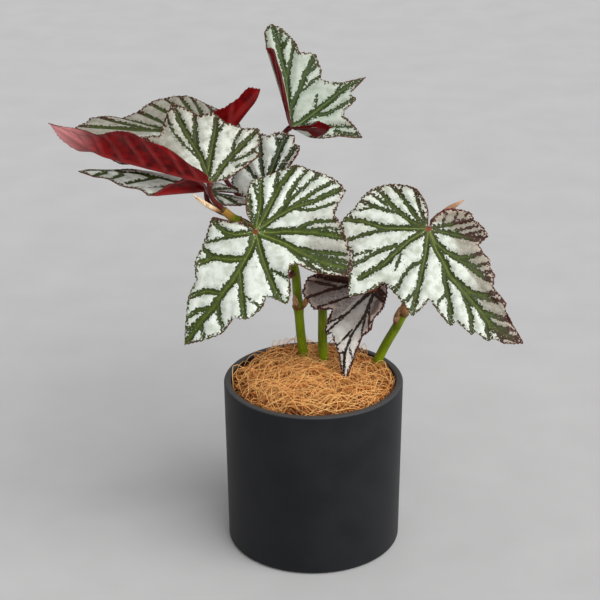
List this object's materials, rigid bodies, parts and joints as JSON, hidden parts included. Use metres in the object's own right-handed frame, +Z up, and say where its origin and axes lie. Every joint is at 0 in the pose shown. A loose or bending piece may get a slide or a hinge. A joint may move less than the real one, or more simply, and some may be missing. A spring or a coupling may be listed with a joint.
{
  "type": "potted rex begonia",
  "caption": "Potted rex begonia: silver and green lobed leaves with red undersides on upright canes, in a plain round charcoal cover pot topped with coir mulch.",
  "frame": {"origin": "centre of the pot's flat base, on the surface it stands on", "axes": "+Z up the pot's axis; -Y towards the front, the side the large leaves face; +X to the right seen from the front"},
  "size_m": [0.3278, 0.2046, 0.3669],
  "materials": {
    "pot_body": "matt charcoal",
    "soil": "dark crumbly potting mix",
    "coir": "loose golden brown coconut fibre",
    "cane": "smooth fresh green stem, satin",
    "leaf_blade": "silver blade with dark green veins and a deep red underside, satin",
    "leaf_stalk": "dark red, satin",
    "papery_sheath": "dry papery tan"
  },
  "bodies": {
    "root": {"pot": "pot_body", "potting_mix": "soil", "coir_mulch": "coir", "cane_left": "cane", "cane_middle": "cane", "cane_right": "cane", "leaf_front_left": "leaf_blade", "leaf_right": "leaf_blade", "leaf_top": "leaf_blade", "leaf_left": "leaf_blade", "leaf_back_left": "leaf_blade", "leaf_lower_left": "leaf_blade", "leaf_back_middle": "leaf_blade", "leaf_hanging": "leaf_blade", "stalk_front_left": "leaf_stalk", "stalk_right": "leaf_stalk", "stalk_top": "leaf_stalk", "stalk_left": "leaf_stalk", "stalk_back_left": "leaf_stalk", "stalk_lower_left": "leaf_stalk", "stalk_back_middle": "leaf_stalk", "stalk_hanging": "leaf_stalk", "sheath_left_tip": "papery_sheath", "sheath_left_joint": "papery_sheath", "sheath_right_joint": "papery_sheath", "bud_right_tip": "papery_sheath"}
  },
  "joints": []
}
